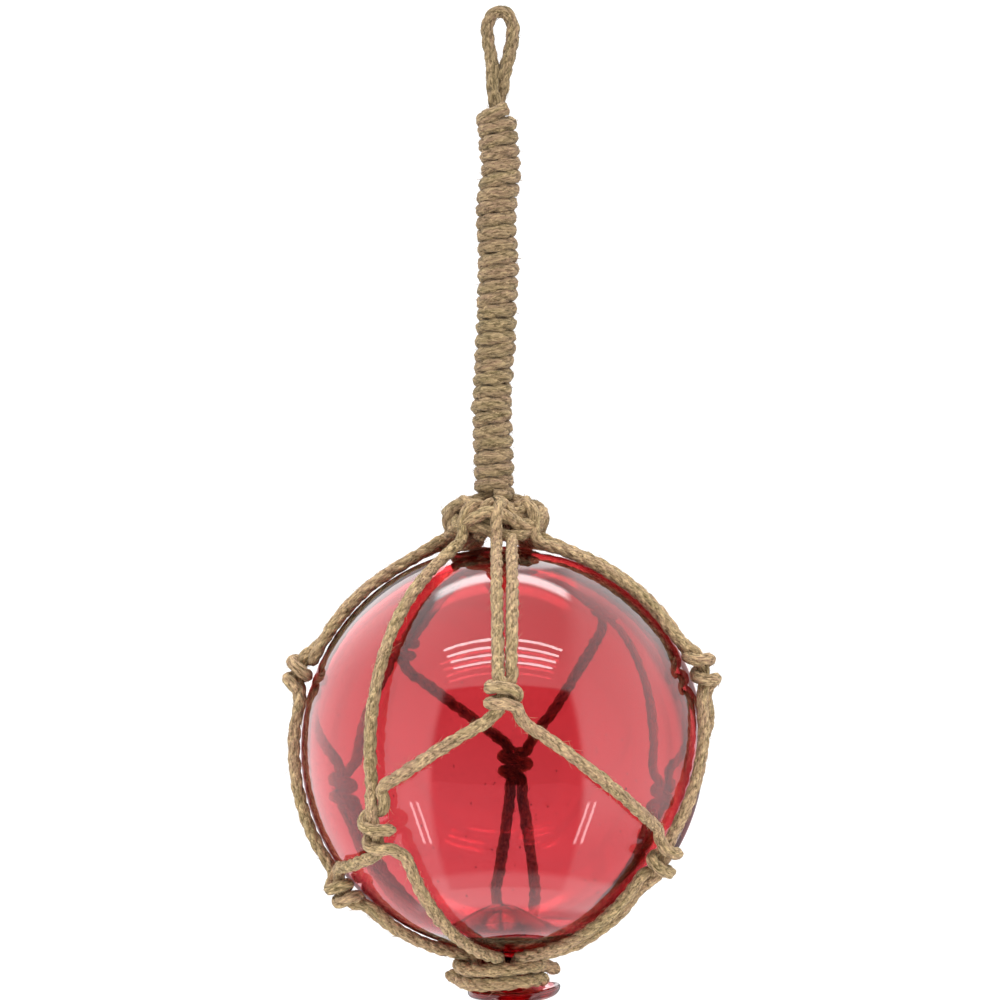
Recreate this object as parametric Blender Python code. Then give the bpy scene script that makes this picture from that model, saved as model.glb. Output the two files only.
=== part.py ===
"""Glass float in a knotted jute net, hanging from a wrapped hanger with an eye.

Metres, +Z up, front towards -Y. The origin is the inside top of the hanging eye.
Azimuths and latitudes are in degrees about the float: azimuth 0 is the front and
90 the right-hand side, latitude 90 is the crown and -90 the seal.
"""

import math

import bmesh
import bpy
import numpy as np

# Glass float
BALL_DIAMETER = 0.1524
BALL_DROP = 0.2750
NECK_DIAMETER = 0.0160
BUTTON_DIAMETER = 0.0350
BUTTON_THICKNESS = 0.0036
BUTTON_SHIFT = 0.0043
BUTTON_LIP_RISE = 0.0030

# Cord
CORD_DIAMETER = 0.0046
CLEARANCE = 0.0004

# Hanger
EYE_WIDTH = 0.0052
EYE_LENGTH = 0.0205
WRAP_START = 0.0340
WRAP_PITCH = 0.00496
CROWN_SHIFT = -0.0030

# Faceting
BALL_SEGMENTS = 36
CORD_SIDES_SETTING = 1
BEND_STEP = math.radians(28)
RUN_STEP = 0.0120
WRAP_STEPS = 8

# Sizes that follow from the ones above
BALL_RADIUS = BALL_DIAMETER / 2
BALL_CENTRE = np.array((0.0, 0.0, -BALL_DROP))
CORD_RADIUS = CORD_DIAMETER / 2
LAY = CORD_DIAMETER + CLEARANCE
NET_RADIUS = BALL_RADIUS + CLEARANCE + CORD_RADIUS
RING_RADIUS = 2.60 * LAY
RING_HEIGHT = -BALL_DROP + NET_RADIUS + 1.45 * LAY
NECK_NET_RADIUS = NECK_DIAMETER / 2 + CLEARANCE + CORD_RADIUS
KNOT_LAY = 1.08 * LAY
LASHING_RADIUS = NECK_NET_RADIUS + LAY
LASHING_TOP = -BALL_DROP - math.sqrt(NET_RADIUS**2 - LASHING_RADIUS**2) - 1.06 * LAY
LASHING_BOTTOM = LASHING_TOP - LAY
LASHING_REACH = LASHING_RADIUS + CORD_RADIUS + CLEARANCE
CORD_END_HEIGHT = LASHING_BOTTOM - 0.25 * LAY
BUTTON_TOP = LASHING_BOTTOM - CORD_RADIUS - CLEARANCE

# Where the hanger's middle stands to the side, as drop below the eye and shift to the right
HANGER_SWAY = (
    (-0.010, -0.0009), (0.014, -0.0010), (0.035, -0.0026), (0.057, -0.0006), (0.073, -0.0026),
    (0.093, -0.0016), (0.120, -0.0026), (0.146, -0.0042), (0.166, -0.0034), (0.195, -0.0030),
)

# Knots of the net: azimuth, latitude, turn about the outward axis and stretch along the knot
UPPER_KNOTS = {
    "front": (0.6, 15.1, 0, 1.0),
    "right": (79.5, 19.5, 4, 1.35),
    "back_right": (130.2, 44.0, 0, 1.1),
    "back_left": (-144.8, 27.0, 0, 1.1),
    "left": (-88.0, 19.0, -4, 1.15),
}
LOWER_KNOTS = {
    "front_left": (-37.7, -21.0, 0, 1.35),
    "lower_right": (54.0, -26.0, 176, 1.3),
    "lower_back_right": (122.0, -12.5, 180, 1.2),
    "lower_back": (175.2, -4.0, 180, 1.15),
    "lower_back_left": (-127.5, -10.0, 180, 1.2),
    "lower_left": (-71.3, -38.0, 190, 1.0),
}

# Each folded cord: place on the crown ring, then for each strand the lower knot, its line there
# and the azimuth where it ends at the neck
FOLDED_CORDS = {
    "front": (10, ("front_left", "wrap", 330), ("lower_right", "wrap", 35)),
    "right": (60, ("lower_right", "core", 63), ("lower_back_right", "wrap", 91)),
    "back_right": (145, ("lower_back_right", "core", 119), ("lower_back", "wrap", 147)),
    "back_left": (205, ("lower_back", "core", 175), ("lower_back_left", "wrap", 203)),
    "left": (250, ("lower_back_left", "core", 231), ("lower_left", "wrap", 259)),
}
SINGLE_CORD_PLACE = 330
SINGLE_CORD_END = 287
HOOK_PLACES = (291, 100)

# Lines through a knot, in knot lays: right, up and outward from the middle of its front bar.
# The pair side is up and the two legs leave at the bottom.
KNOT_LINES = {
    "core": (
        (-0.50, 2.70, 0.10), (-0.46, 2.05, 0.66), (-0.40, 1.38, 1.04), (-0.42, 0.52, 0.68),
        (-0.52, -0.32, 0.24), (-0.85, -1.05, 0.0),
    ),
    "wrap": (
        (0.55, 2.60, 0.0), (0.50, 1.90, 0.0), (0.06, 1.42, 0.0), (-0.60, 1.28, 0.0),
        (-1.22, 1.08, 0.10), (-1.52, 0.58, 0.55), (-1.30, 0.0, 1.10), (-0.65, -0.28, 1.36),
        (0.05, -0.34, 1.40), (0.66, -0.36, 1.22), (1.04, -0.52, 0.72), (1.08, -0.92, 0.18),
        (1.22, -1.40, 0.0),
    ),
}
# Lines round the crown ring, in cord lays: along the ring, outward from it and up
FOLD_LINE = (
    (-0.56, 1.42, -1.50), (-0.54, 1.20, -0.50), (-0.42, 1.04, 0.50), (-0.22, 0.56, 1.02),
    (0.0, -0.08, 1.14), (0.0, -0.72, 0.90), (0.0, -1.10, 0.12), (0.04, -0.92, -0.66),
    (0.15, -0.30, -1.12), (0.45, 0.42, -1.20), (0.60, 1.25, -1.45),
)
HOOK_LINE = (
    (0.0, -0.95, 1.38), (0.0, 0.0, 1.12), (0.0, 0.80, 0.80), (0.0, 1.12, 0.0),
    (0.0, 0.80, -0.80), (0.0, 0.0, -1.12), (0.0, -0.81, -0.80), (0.0, -1.10, -0.10),
)


def make_material(name, colour, roughness, transmission=0.0):
    """A plain Principled material."""
    material = bpy.data.materials.new(name)
    material.use_nodes = True
    shader = material.node_tree.nodes["Principled BSDF"]
    shader.inputs["Base Color"].default_value = (*colour, 1.0)
    shader.inputs["Roughness"].default_value = roughness
    shader.inputs["Metallic"].default_value = 0.0
    shader.inputs["Transmission Weight"].default_value = transmission
    return material


def direction(azimuth, latitude):
    """The unit vector out of the float at an azimuth and latitude in degrees."""
    a, b = math.radians(azimuth), math.radians(latitude)
    return np.array((math.cos(b) * math.sin(a), -math.cos(b) * math.cos(a), math.sin(b)))


def ring_point(azimuth, radius, height):
    """A point on a level circle about the float's axis."""
    a = math.radians(azimuth)
    return np.array((radius * math.sin(a), -radius * math.cos(a), height))


def curve_between(p0, p1, p2, p3, s):
    """A point on the smooth curve from p1 to p2, with p0 and p3 as its neighbours."""
    d1, d2, d3 = (math.sqrt(np.linalg.norm(b - a)) for a, b in ((p0, p1), (p1, p2), (p2, p3)))
    start = d2 * ((p1 - p0) / d1 - (p2 - p0) / (d1 + d2) + (p2 - p1) / d2)
    end = d2 * ((p2 - p1) / d2 - (p3 - p1) / (d2 + d3) + (p3 - p2) / d3)
    return (
        p1 * (2 * s**3 - 3 * s**2 + 1)
        + start * (s**3 - 2 * s**2 + s)
        + p2 * (3 * s**2 - 2 * s**3)
        + end * (s**3 - s**2)
    )


def smooth_route(points, steps=12):
    """A smooth curve through the points, with only as many stations as its bends need."""
    points = [np.array(p, dtype=float) for p in points]
    ends = [2 * points[0] - points[1], *points, 2 * points[-1] - points[-2]]
    dense = [
        curve_between(*four, i / steps)
        for four in zip(ends, ends[1:], ends[2:], ends[3:])
        for i in range(steps)
    ]
    dense.append(points[-1])
    kept = [dense[0]]
    heading = dense[1] - dense[0]
    for before, here in zip(dense[1:], dense[2:]):
        ahead = here - before
        cosine = ahead @ heading / (np.linalg.norm(ahead) * np.linalg.norm(heading))
        bend = math.acos(min(1.0, max(-1.0, cosine)))
        if bend > BEND_STEP or np.linalg.norm(here - kept[-1]) > RUN_STEP:
            kept.append(before)
            heading = ahead
    if np.linalg.norm(dense[-1] - kept[-1]) < CORD_RADIUS:
        kept.pop()
    kept.append(dense[-1])
    return kept


def taut_run(start, end):
    """Stations of a cord pulled tight over the glass from start to end, without the ends."""
    first, last = start - BALL_CENTRE, end - BALL_CENTRE
    first_reach, last_reach = np.linalg.norm(first), np.linalg.norm(last)
    angle = math.acos(first @ last / (first_reach * last_reach))
    landing = math.acos(min(1.0, NET_RADIUS / first_reach))
    leaving = math.acos(min(1.0, NET_RADIUS / last_reach))
    if landing + leaving >= angle:
        return []
    count = max(2, math.ceil(angle * NET_RADIUS / RUN_STEP))
    stations = []
    for i in range(1, count):
        turned = angle * i / count
        lifted = max(0.0, landing - turned, leaving - angle + turned)
        across = (
            first / first_reach * math.sin(angle - turned) + last / last_reach * math.sin(turned)
        ) / math.sin(angle)
        stations.append(BALL_CENTRE + across * NET_RADIUS / math.cos(lifted))
    return stations


def knot_line(knot, line):
    """A line through a knot, laid on the glass at the knot's place."""
    azimuth, latitude, turn, stretch = knot
    out = direction(azimuth, latitude)
    east = ring_point(azimuth + 90, 1.0, 0.0)
    north = np.cross(out, east)
    angle = math.radians(turn)
    right = east * math.cos(angle) + north * math.sin(angle)
    up = north * math.cos(angle) - east * math.sin(angle)
    placed = []
    for across, along, lift in KNOT_LINES[line]:
        spot = out * NET_RADIUS + (right * across + up * along * stretch) * KNOT_LAY
        placed.append(BALL_CENTRE + spot / np.linalg.norm(spot) * (NET_RADIUS + lift * KNOT_LAY))
    return placed if abs(turn) < 90 else placed[::-1]


def crown_line(azimuth, line):
    """A line round the crown ring at an azimuth about the ring's own middle."""
    placed = []
    for along, outward, up in line:
        radius = RING_RADIUS + outward * LAY
        spot = ring_point(azimuth + math.degrees(along * LAY / radius), radius, RING_HEIGHT + up * LAY)
        placed.append(spot + (CROWN_SHIFT, 0, 0))
    return placed


def neck_line(azimuth):
    """The end of a strand, from the bottom of the glass down along the neck."""
    def on_glass(radius):
        return ring_point(azimuth, radius, -BALL_DROP - math.sqrt(NET_RADIUS**2 - radius**2))

    bend = on_glass(NECK_NET_RADIUS + 0.40 * LAY)
    return [
        on_glass(NECK_NET_RADIUS + 1.10 * LAY),
        bend,
        ring_point(azimuth, NECK_NET_RADIUS + 0.06 * LAY, bend[2] - 0.32 * LAY),
        ring_point(azimuth, NECK_NET_RADIUS, bend[2] - 0.80 * LAY),
        ring_point(azimuth, NECK_NET_RADIUS, CORD_END_HEIGHT),
    ]


def joined(*stretches):
    """One route from several stretches, pulled tight over the glass between them."""
    route = list(stretches[0])
    for stretch in stretches[1:]:
        route += taut_run(route[-1], stretch[0]) + list(stretch)
    return route


def strand(upper, upper_line, lower, lower_line, end):
    """Stretches of one strand below the crown ring, from its upper knot to the neck."""
    return [
        knot_line(UPPER_KNOTS[upper], upper_line),
        knot_line(LOWER_KNOTS[lower], lower_line),
        neck_line(end),
    ]


def folded_cord_route(name):
    """A cord folded over the crown ring: one strand's end at the neck to the other's."""
    place, west, east = FOLDED_CORDS[name]
    fold = crown_line(place, FOLD_LINE)
    down_west = joined(fold[:1], *strand(name, "core", *west))
    down_east = joined(fold[-1:], *strand(name, "wrap", *east))
    return down_west[:0:-1] + fold + down_east[1:]


def single_cord_route():
    """The cord that hangs single: its end is tucked round the crown ring."""
    hitch = crown_line(SINGLE_CORD_PLACE, FOLD_LINE[:-1])[::-1]
    return joined(
        hitch,
        knot_line(LOWER_KNOTS["front_left"], "core"),
        knot_line(LOWER_KNOTS["lower_left"], "core"),
        neck_line(SINGLE_CORD_END),
    )


def hanger_sway(height):
    """How far the hanger's middle stands to the right at a height."""
    drops, shifts = zip(*HANGER_SWAY)
    return float(np.interp(-height, drops, shifts))


def hanger_leg(side):
    """One leg of the hanger from the top of the eye to its hook on the crown ring."""
    middle = EYE_WIDTH / 2 + CORD_RADIUS
    route = [
        np.array((side * middle * wide, 0.0, CORD_RADIUS - (EYE_LENGTH + CORD_RADIUS) * down))
        for wide, down in ((0.56, 0.035), (0.88, 0.145), (1.0, 0.30), (0.90, 0.53), (0.68, 0.80))
    ]
    for share in np.linspace(0.0, 1.0, 4):
        turn = share * math.pi / 2
        height = -EYE_LENGTH - 0.02 * EYE_LENGTH - share * (WRAP_START - 1.02 * EYE_LENGTH)
        half = 0.53 * LAY
        route.append(np.array((side * half * math.cos(turn), side * half * math.sin(turn), height)))
    foot = RING_HEIGHT + 2.10 * LAY
    for height in (*np.linspace(-WRAP_START - 0.01, foot + LAY, 14), foot):
        route.append(np.array((0.0, side * LAY / 2, height)))
    for spot in route:
        spot[0] += hanger_sway(spot[2])
    place = HOOK_PLACES[0] if side < 0 else HOOK_PLACES[1]
    return route + crown_line(place, HOOK_LINE)


def hanger_cord_route():
    """The hanger's cord: hook, leg, eye, leg and hook."""
    left, right = hanger_leg(-1), hanger_leg(1)
    top = np.array((hanger_sway(0.0), 0.0, CORD_RADIUS))
    return left[::-1] + [top] + right


def wrap_stations():
    """The cord wound round the hanger's two legs, rising to the right across the front."""
    reach = CORD_RADIUS + CLEARANCE + CORD_RADIUS / math.cos(math.pi / WRAP_STEPS)
    top, bottom = -WRAP_START - CORD_RADIUS, RING_HEIGHT + 2.35 * LAY + CORD_RADIUS
    count = int((top - bottom) / WRAP_PITCH * WRAP_STEPS)
    stations = []
    for i in range(count + 1):
        turn = 2 * math.pi * (i + 0.5) / WRAP_STEPS
        height = bottom + WRAP_PITCH * i / WRAP_STEPS
        side = math.copysign(LAY / 2, -math.cos(turn))
        x = reach * math.sin(turn) + hanger_sway(height)
        stations.append(np.array((x, side - reach * math.cos(turn), height)))
    return stations


def lashing_route():
    """The cord lashed round the strand ends: a low turn, a step up and a high turn."""
    first, climb_start, climb_end, last = -95, 170, 255, 447
    route = [ring_point(first - 6, LASHING_RADIUS + 0.5 * LAY, LASHING_BOTTOM)]
    for azimuth in np.arange(first + 4, last, 17):
        share = min(1.0, max(0.0, (azimuth - climb_start) / (climb_end - climb_start)))
        height = LASHING_BOTTOM + LAY * share * share * (3 - 2 * share)
        route.append(ring_point(azimuth, LASHING_RADIUS, height))
    route.append(ring_point(last + 6, LASHING_RADIUS + 0.5 * LAY, LASHING_TOP))
    return route


def make_cord(name, stations, material, closed=False):
    """A cord of the net as a tube along its stations."""
    data = bpy.data.curves.new(name, "CURVE")
    data.dimensions = "3D"
    data.bevel_depth = CORD_RADIUS
    data.bevel_resolution = CORD_SIDES_SETTING
    data.use_fill_caps = not closed
    spline = data.splines.new("POLY")
    spline.points.add(len(stations) - 1)
    for point, station in zip(spline.points, stations):
        point.co = (*station, 1.0)
    spline.use_cyclic_u = closed
    data.materials.append(material)
    cord = bpy.data.objects.new(name, data)
    bpy.context.collection.objects.link(cord)
    return cord


def float_profile():
    """The float's outline as radius and height, from its crown down to the seal's middle."""
    neck = NECK_DIAMETER / 2
    button = BUTTON_DIAMETER / 2
    steps = BALL_SEGMENTS // 2
    last = math.pi - math.asin((neck + 0.1 * neck) / BALL_RADIUS)
    outline = [
        (BALL_RADIUS * math.sin(last * i / steps), BALL_RADIUS * math.cos(last * i / steps) - BALL_DROP)
        for i in range(steps + 1)
    ]
    rim = BUTTON_THICKNESS / 2
    outline.append((neck, outline[-1][1] - 0.1 * neck))
    outline.append((neck, BUTTON_TOP))
    outline.append((LASHING_REACH - BUTTON_SHIFT, BUTTON_TOP))
    for i in range(5):
        turn = math.pi * i / 4
        outline.append((button - rim + rim * math.sin(turn), BUTTON_TOP - rim + rim * math.cos(turn)))
    outline.append((0.5 * button, BUTTON_TOP - 1.1 * BUTTON_THICKNESS))
    outline.append((0.0, BUTTON_TOP - 1.16 * BUTTON_THICKNESS))
    return outline


def slump_button(mesh):
    """Sets the seal button to one side and curls its far lip up, as the soft glass sagged."""
    touch = CLEARANCE / 4
    for vertex in mesh.verts:
        on_neck = vertex.co.z > BUTTON_TOP - touch and vertex.co.xy.length < NECK_DIAMETER / 2 + touch
        if on_neck or vertex.co.z > BUTTON_TOP + touch:
            continue
        vertex.co.x += BUTTON_SHIFT
        beyond = vertex.co.xy.length - LASHING_REACH
        if beyond > touch:
            vertex.co.z += BUTTON_LIP_RISE * min(1.0, beyond / BUTTON_SHIFT)


def make_float(material):
    """The blown glass ball with its neck and the button that seals it, as one turned solid."""
    mesh = bmesh.new()
    outline = [mesh.verts.new((radius, 0.0, height)) for radius, height in float_profile()]
    edges = [mesh.edges.new(pair) for pair in zip(outline, outline[1:])]
    bmesh.ops.spin(
        mesh, geom=outline + edges, cent=(0, 0, 0), axis=(0, 0, 1), angle=2 * math.pi,
        steps=BALL_SEGMENTS, use_merge=True,
    )
    bmesh.ops.remove_doubles(mesh, verts=mesh.verts, dist=1e-6)
    slump_button(mesh)
    bmesh.ops.recalc_face_normals(mesh, faces=mesh.faces)
    data = bpy.data.meshes.new("glass_ball")
    mesh.to_mesh(data)
    mesh.free()
    data.shade_smooth()
    data.set_sharp_from_angle(angle=math.radians(50))
    data.materials.append(material)
    ball = bpy.data.objects.new("glass_ball", data)
    bpy.context.collection.objects.link(ball)
    return ball


def main():
    """Clears the scene and builds every piece."""
    for item in list(bpy.data.objects):
        bpy.data.objects.remove(item)
    glass = make_material("red_glass", (0.60, 0.03, 0.05), 0.04, transmission=1.0)
    jute = make_material("jute", (0.50, 0.36, 0.20), 0.90)
    dark_jute = make_material("hanger_jute", (0.46, 0.33, 0.19), 0.92)

    make_float(glass)
    ring = [
        ring_point(azimuth, RING_RADIUS, RING_HEIGHT) + (CROWN_SHIFT, 0, 0)
        for azimuth in range(0, 360, 18)
    ]
    make_cord("crown_ring", ring, jute, closed=True)
    make_cord("hanger_cord", smooth_route(hanger_cord_route()), dark_jute)
    make_cord("hanger_wrap", wrap_stations(), dark_jute)
    for name in FOLDED_CORDS:
        make_cord("net_cord_" + name, smooth_route(folded_cord_route(name)), jute)
    make_cord("net_cord_front_left", smooth_route(single_cord_route()), jute)
    make_cord("neck_lashing", lashing_route(), jute)


main()
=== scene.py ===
"""Dresses the glass float: blown red glass in a knotted jute net, under a cord-wrapped hanger.

Metres, +Z up, front towards -Y. The origin is the inside top of the hanging eye.
Azimuths and latitudes are in degrees about the float: azimuth 0 is the front and
90 the right-hand side, latitude 90 is the crown and -90 the seal.
"""

import math
import random

import bmesh
import bpy
import numpy as np
from mathutils import Matrix, Vector, noise


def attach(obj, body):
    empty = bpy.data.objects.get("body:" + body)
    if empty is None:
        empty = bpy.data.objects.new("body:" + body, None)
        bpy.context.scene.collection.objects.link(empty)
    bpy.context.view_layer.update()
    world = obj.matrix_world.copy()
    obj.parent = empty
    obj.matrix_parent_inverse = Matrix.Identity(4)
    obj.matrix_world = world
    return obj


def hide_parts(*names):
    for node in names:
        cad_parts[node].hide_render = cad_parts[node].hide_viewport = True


bl_info = {
    "name": "Netted Glass Float",
    "version": (1, 0, 0),
    "blender": (4, 5, 0),
    "location": "View3D > Sidebar > Float",
    "description": "Builds a blown glass float in its knotted jute net with a wrapped hanger",
    "category": "Add Mesh",
}

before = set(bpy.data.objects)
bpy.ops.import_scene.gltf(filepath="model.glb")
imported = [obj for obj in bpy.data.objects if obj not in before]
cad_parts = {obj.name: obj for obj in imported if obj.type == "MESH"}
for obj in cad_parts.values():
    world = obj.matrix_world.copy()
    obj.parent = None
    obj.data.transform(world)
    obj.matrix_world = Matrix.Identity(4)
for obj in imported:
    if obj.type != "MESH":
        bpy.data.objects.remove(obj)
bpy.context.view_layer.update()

# Sizes that the net's solids are laid out with
BALL_RADIUS = 0.0762
BALL_DROP = 0.2750
BALL_CENTRE = np.array((0.0, 0.0, -BALL_DROP))
NECK_DIAMETER = 0.0160
BUTTON_DIAMETER = 0.0350
BUTTON_THICKNESS = 0.0036
BUTTON_SHIFT = 0.0043
BUTTON_LIP_RISE = 0.0030
CORD_RADIUS = 0.0023
CLEARANCE = 0.0004
EYE_WIDTH = 0.0052
EYE_LENGTH = 0.0205
WRAP_START = 0.0340
WRAP_PITCH = 0.00496
CROWN_SHIFT = -0.0030
LAY = 2 * CORD_RADIUS + CLEARANCE
NET_RADIUS = BALL_RADIUS + CLEARANCE + CORD_RADIUS
RING_RADIUS = 2.60 * LAY
RING_HEIGHT = -BALL_DROP + NET_RADIUS + 1.45 * LAY
NECK_NET_RADIUS = NECK_DIAMETER / 2 + CLEARANCE + CORD_RADIUS
KNOT_LAY = 0.90 * LAY
LASHING_RADIUS = NECK_NET_RADIUS + LAY
LASHING_TOP = -BALL_DROP - math.sqrt(NET_RADIUS**2 - LASHING_RADIUS**2) - 1.06 * LAY
LASHING_BOTTOM = LASHING_TOP - LAY
LASHING_REACH = LASHING_RADIUS + CORD_RADIUS + CLEARANCE
CORD_END_HEIGHT = LASHING_BOTTOM - 0.25 * LAY
BUTTON_TOP = LASHING_BOTTOM - CORD_RADIUS - CLEARANCE
RUN_STEP = 0.0120

# Where the hanger's middle stands to the side, as drop below the eye and shift to the right
HANGER_SWAY = (
    (-0.010, -0.0009), (0.014, -0.0010), (0.035, -0.0026), (0.057, -0.0006), (0.073, -0.0026),
    (0.093, -0.0016), (0.120, -0.0026), (0.146, -0.0042), (0.166, -0.0034), (0.195, -0.0030),
)

# Knots of the net: azimuth, latitude, turn about the outward axis and stretch along the knot
UPPER_KNOTS = {
    "front": (0.6, 15.1, 0, 1.0),
    "right": (79.5, 19.5, 4, 1.35),
    "back_right": (130.2, 44.0, 0, 1.1),
    "back_left": (-144.8, 27.0, 0, 1.1),
    "left": (-88.0, 19.0, -4, 1.15),
}
LOWER_KNOTS = {
    "front_left": (-35.4, -21.0, 0, 1.35),
    "lower_right": (54.0, -26.0, 176, 1.3),
    "lower_back_right": (122.0, -12.5, 180, 1.2),
    "lower_back": (175.2, -4.0, 180, 1.15),
    "lower_back_left": (-127.5, -10.0, 180, 1.2),
    "lower_left": (-71.3, -38.0, 190, 1.0),
}

# Each folded cord: place on the crown ring, then for each strand the lower knot, its line there
# and the azimuth where it ends at the neck
FOLDED_CORDS = {
    "front": (10, ("front_left", "wrap", 353), ("lower_right", "wrap", 27)),
    "right": (60, ("lower_right", "core", 63), ("lower_back_right", "wrap", 91)),
    "back_right": (145, ("lower_back_right", "core", 119), ("lower_back", "wrap", 147)),
    "back_left": (205, ("lower_back", "core", 175), ("lower_back_left", "wrap", 203)),
    "left": (250, ("lower_back_left", "core", 231), ("lower_left", "wrap", 259)),
}
SINGLE_CORD_PLACE = 330
SINGLE_CORD_END = 287
HOOK_PLACES = (291, 100)

# Where the two back legs bow apart on their way to the neck: azimuth and latitude, by the
# azimuth where each leg ends
LEG_BOWS = {147: (165.3, -48.0), 175: (182.6, -48.0)}

# Lines through a knot, in knot lays: right, up and outward from the middle of its front bar
KNOT_LINES = {
    "core": (
        (-0.54, 3.10, 0.0), (-0.50, 2.30, 0.30), (-0.34, 1.60, 0.72), (-0.16, 0.80, 0.74),
        (-0.26, 0.05, 0.62), (-0.62, -0.60, 0.25), (-1.30, -1.25, 0.0),
    ),
    "wrap": (
        (0.54, 3.10, 0.0), (0.56, 2.30, 0.0), (0.34, 1.78, 0.0), (-0.30, 1.62, 0.0),
        (-0.98, 1.45, 0.20), (-1.18, 1.18, 0.72), (-0.66, 0.98, 1.42), (0.14, 0.88, 1.50),
        (0.86, 0.74, 0.98), (0.92, 0.56, 0.30), (0.30, 0.44, 0.0), (-0.44, 0.32, 0.0),
        (-1.08, 0.16, 0.24), (-1.16, -0.08, 0.76), (-0.62, -0.24, 1.30), (0.16, -0.30, 1.34),
        (0.84, -0.44, 0.92), (1.06, -0.82, 0.30), (1.50, -1.42, 0.0),
    ),
}
# Lines round the crown ring, in cord lays: along the ring, outward from it and up
FOLD_LINE = (
    (-0.56, 1.42, -1.50), (-0.54, 1.20, -0.50), (-0.42, 1.04, 0.50), (-0.22, 0.56, 1.02),
    (0.0, -0.08, 1.14), (0.0, -0.72, 0.90), (0.0, -1.10, 0.12), (0.04, -0.92, -0.66),
    (0.15, -0.30, -1.12), (0.45, 0.42, -1.20), (0.60, 1.25, -1.45),
)
HOOK_LINE = (
    (0.0, -0.95, 1.38), (0.0, 0.0, 1.12), (0.0, 0.80, 0.80), (0.0, 1.12, 0.0),
    (0.0, 0.80, -0.80), (0.0, 0.0, -1.12), (0.0, -0.81, -0.80), (0.0, -1.10, -0.10),
)

# Turns of the crown ring, in cord lays: out from the ring's own radius, up, and how far it waves,
# then how many waves it has and where the first begins, in degrees
CROWN_TURNS = (
    (0.0, 0.0, 0.10, 3, 0), (-0.95, 0.70, 0.25, 2, 40), (0.92, 0.10, 0.50, 4, 100),
    (0.72, -0.85, 0.35, 3, 200), (-0.15, 0.95, 0.45, 5, 70),
)

# The eye's outline: shares of its half width, and of its length below the top
EYE_SHAPE = ((0.54, 0.025), (0.88, 0.145), (0.98, 0.30), (0.86, 0.53), (0.62, 0.78))

# How unevenly the winding lies: most that a turn sits high or low, least and most that it
# stands off, most that it tilts, and how many turns at the top tilt more and more
WRAP_LIFT = 0.00030
WRAP_SLACK = (-0.00005, 0.00055)
WRAP_TILT = 0.00060
TOP_TURNS = 3.2
TOP_TILT = 0.0012

# How the cord is laid: points round one section, the share of the radius from the middle of
# the cord to the middle of a strand, and the distance between sections
SECTION_POINTS = 24
STRANDS = 3
STRAND_OFFSET = 0.28
SECTION_STEP = 0.00062

# How uneven it is: the twist in radians, then the girth and the surface as shares of the radius
TWIST_NOISE = 0.35
GIRTH_NOISE = 0.08
SURFACE_NOISE = 0.15

# Loose fibres: least and most length, then slopes out from the cord, sideways and curling
FIBRE_LENGTH = (0.0010, 0.0036)
FIBRE_RISE = (0.10, 0.75)
FIBRE_SWAY = (-0.5, 0.5)
FIBRE_CURL = (-0.25, 0.2)
FIBRE_ROOT_DEPTH = 0.0001
FIBRE_RADIUS = 0.00006
FIBRE_TAPER = (1.0, 0.9, 0.65, 0.3)
FIBRE_BUNDLE = 200

# Grain of the jute: blotches for each metre, along the cord and twice across it
FIBRE_GRAIN = (330.0, 1700.0, 1700.0)
YARN_GRAIN = (170.0, 800.0, 800.0)
STRETCH_GRAIN = (38.0, 210.0, 210.0)
SPECK_GRAIN = (620.0, 1150.0, 1150.0)
# Painted shade: the hanger's cords take the same jute, darker by this share
HANGER_PAINTED_SHADE = 0.76

# The hollow inside the glass: how much flatter than round, and how far to the left
HOLLOW_FLATTENING = 0.00045
HOLLOW_SHIFT = -0.00065

# Seeds in the glass: smallest radius and how much larger, how deep they lie, their height as a
# share of the ball's radius on average and how it spreads, and its limits
SEED_SIZE, SEED_SIZE_SPREAD = 0.00012, 0.00024
SEED_DEPTH = 0.0010
SEED_HEIGHT, SEED_HEIGHT_SPREAD = -0.30, 0.42
SEED_LIMITS = (-0.93, 0.9)

# Sockets of the node that mixes colours
MIX_FIRST, MIX_SECOND, MIX_RESULT = 6, 7, 2

# The camera: lens in millimetres, and where it stands
CAMERA_LENS = 138.4
CAMERA_PLACE = (-0.0010, -1.45, -0.1815)


# Shader nodes

class Value:
    """A number in a shader, on which sums can be written."""

    def __init__(self, graph, socket):
        self.graph = graph
        self.socket = socket

    def maths(self, operation, *others):
        """The outcome of a sum on this number and others."""
        inputs = dict(enumerate((self, *others)))
        return self.graph.value("ShaderNodeMath", inputs, operation=operation)

    def __add__(self, other):
        return self.maths("ADD", other)

    def __radd__(self, other):
        return self.maths("ADD", other)

    def __sub__(self, other):
        return self.maths("SUBTRACT", other)

    def __rsub__(self, other):
        return (self * -1.0).maths("ADD", other)

    def __mul__(self, other):
        return self.maths("MULTIPLY", other)

    def __rmul__(self, other):
        return self.maths("MULTIPLY", other)

    def __truediv__(self, other):
        return self.maths("DIVIDE", other)

    def __pow__(self, other):
        return self.maths("POWER", other)

    def size(self):
        """The number without its sign."""
        return self.maths("ABSOLUTE")

    def rising(self, low, high):
        """0 below low, 1 above high, with a soft step between."""
        inputs = {"Value": self, "From Min": low, "From Max": high}
        return self.graph.value("ShaderNodeMapRange", inputs, interpolation_type="SMOOTHSTEP")

    def within(self, low, high, edge):
        """1 between low and high, 0 outside, with edges that wide."""
        return self.rising(low - edge, low) * (1.0 - self.rising(high, high + edge))


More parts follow.
